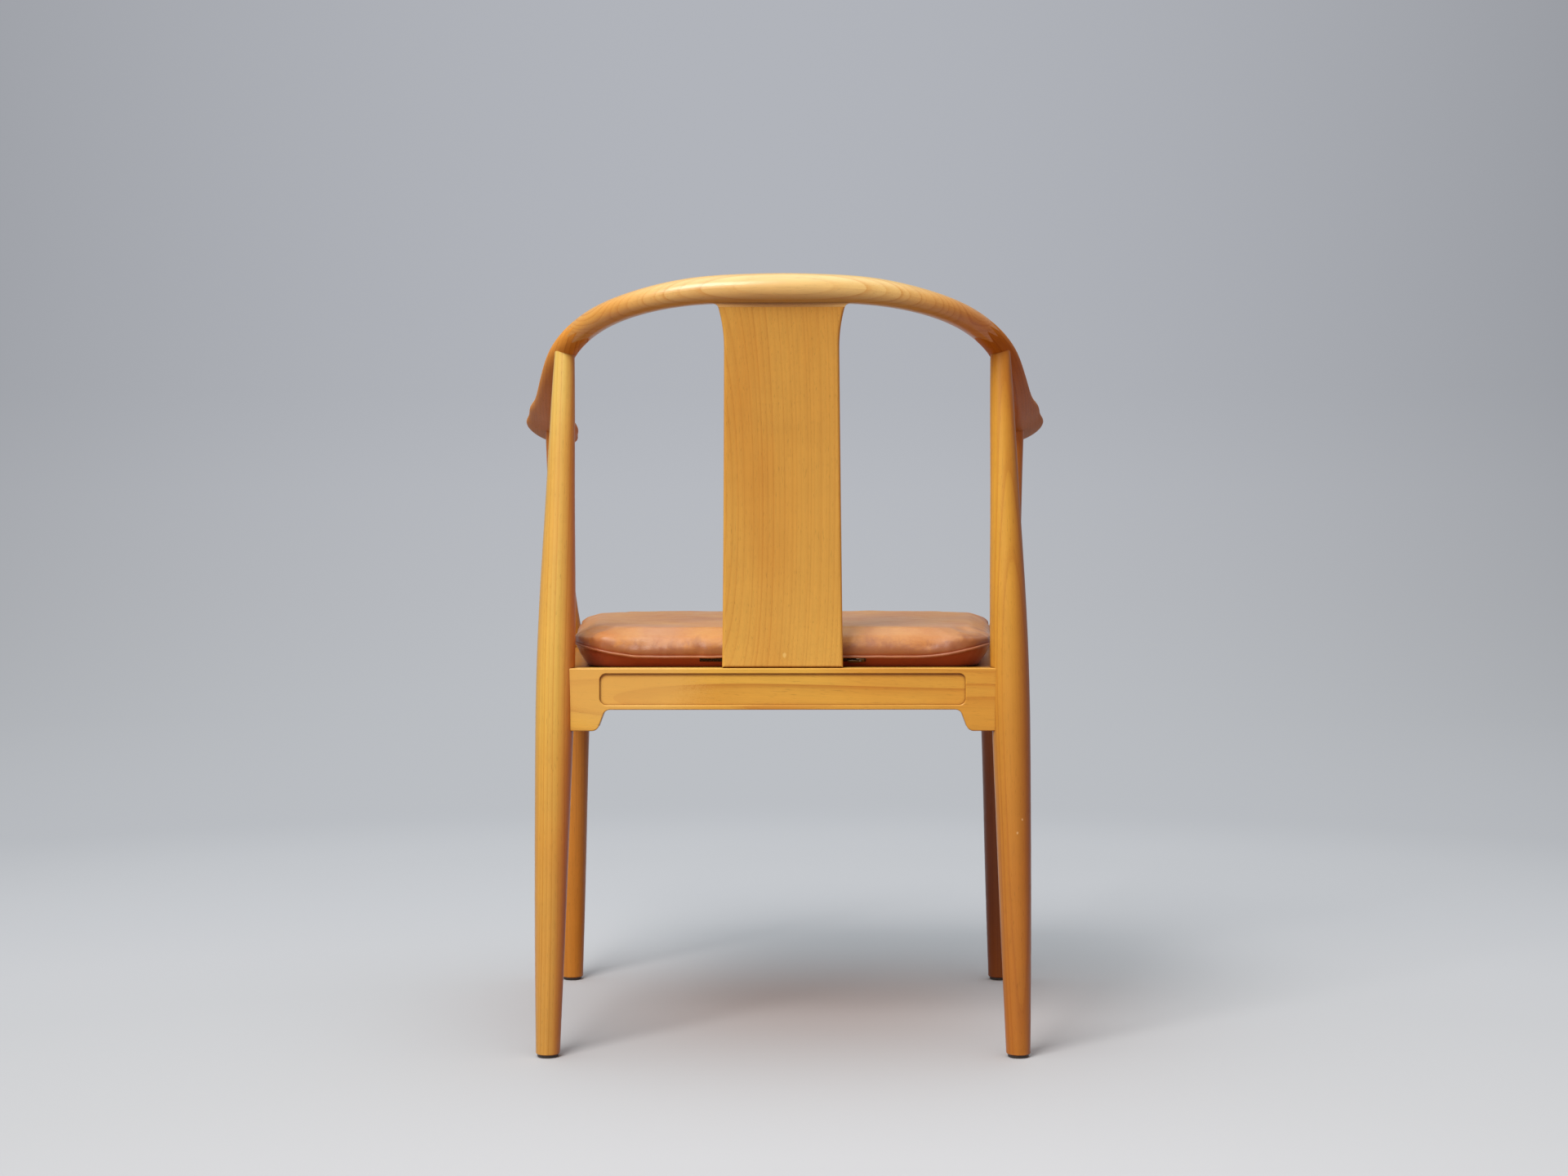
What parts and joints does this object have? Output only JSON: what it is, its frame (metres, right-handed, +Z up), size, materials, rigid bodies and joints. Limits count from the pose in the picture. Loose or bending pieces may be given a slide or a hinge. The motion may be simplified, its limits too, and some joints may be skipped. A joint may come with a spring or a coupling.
{
  "type": "horseshoe back armchair",
  "caption": "Wooden armchair with a horseshoe crest and arm rail, a curved back splat, turned posts, bracketed seat rails and a loose leather cushion.",
  "frame": {"origin": "on the floor, under the middle of the chair's width and depth", "axes": "+Z up, -Y is the way the sitter faces, +X is the sitter's left"},
  "size_m": [0.625, 0.5507, 0.82],
  "materials": {
    "crest_rail": "oiled and waxed honey-coloured cherry, satin",
    "arm_left": "oiled and waxed honey-coloured cherry, satin",
    "arm_right": "oiled and waxed honey-coloured cherry, satin",
    "leg_rear_left": "oiled and waxed honey-coloured cherry, satin",
    "leg_rear_right": "oiled and waxed honey-coloured cherry, satin",
    "leg_front_left": "oiled and waxed honey-coloured cherry, satin",
    "leg_front_right": "oiled and waxed honey-coloured cherry, satin",
    "seat_rail_back": "oiled and waxed honey-coloured cherry, satin",
    "seat_rail_front": "oiled and waxed honey-coloured cherry, satin",
    "seat_rail_left": "oiled and waxed honey-coloured cherry, satin",
    "seat_rail_right": "oiled and waxed honey-coloured cherry, satin",
    "back_splat": "oiled and waxed honey-coloured cherry, satin",
    "seat_board": "oiled and waxed honey-coloured cherry, satin",
    "corner_block_rear_left": "oiled and waxed honey-coloured cherry, satin",
    "corner_block_rear_right": "oiled and waxed honey-coloured cherry, satin",
    "corner_block_front_left": "oiled and waxed honey-coloured cherry, satin",
    "corner_block_front_right": "oiled and waxed honey-coloured cherry, satin",
    "corner_block_screws": "plain steel wood screws",
    "glide_rear_left": "dark hard plastic",
    "glide_rear_right": "dark hard plastic",
    "glide_front_left": "dark hard plastic",
    "glide_front_right": "dark hard plastic",
    "cushion_cover": "tan aniline leather, creased and glossy",
    "cushion_core": "upholstery foam",
    "cushion_piping": "tan leather piping",
    "cushion_zip": "dark brown zip tape with closed teeth"
  },
  "bodies": {
    "chair": {"crest_rail": "crest_rail", "arm_left": "arm_left", "arm_right": "arm_right", "leg_rear_left": "leg_rear_left", "leg_rear_right": "leg_rear_right", "leg_front_left": "leg_front_left", "leg_front_right": "leg_front_right", "seat_rail_back": "seat_rail_back", "seat_rail_front": "seat_rail_front", "seat_rail_left": "seat_rail_left", "seat_rail_right": "seat_rail_right", "back_splat": "back_splat", "seat_board": "seat_board", "corner_block_rear_left": "corner_block_rear_left", "corner_block_rear_right": "corner_block_rear_right", "corner_block_front_left": "corner_block_front_left", "corner_block_front_right": "corner_block_front_right", "corner_block_screws": "corner_block_screws", "glide_rear_left": "glide_rear_left", "glide_rear_right": "glide_rear_right", "glide_front_left": "glide_front_left", "glide_front_right": "glide_front_right"},
    "cushion": {"cushion_cover": "cushion_cover", "cushion_core": "cushion_core", "cushion_piping": "cushion_piping", "cushion_zip": "cushion_zip"}
  },
  "joints": [
    {"name": "cushion_lift", "type": "slide", "parent": "chair", "child": "cushion", "axis": [0, 0, 1], "range_m": [0, 0.43]}
  ]
}
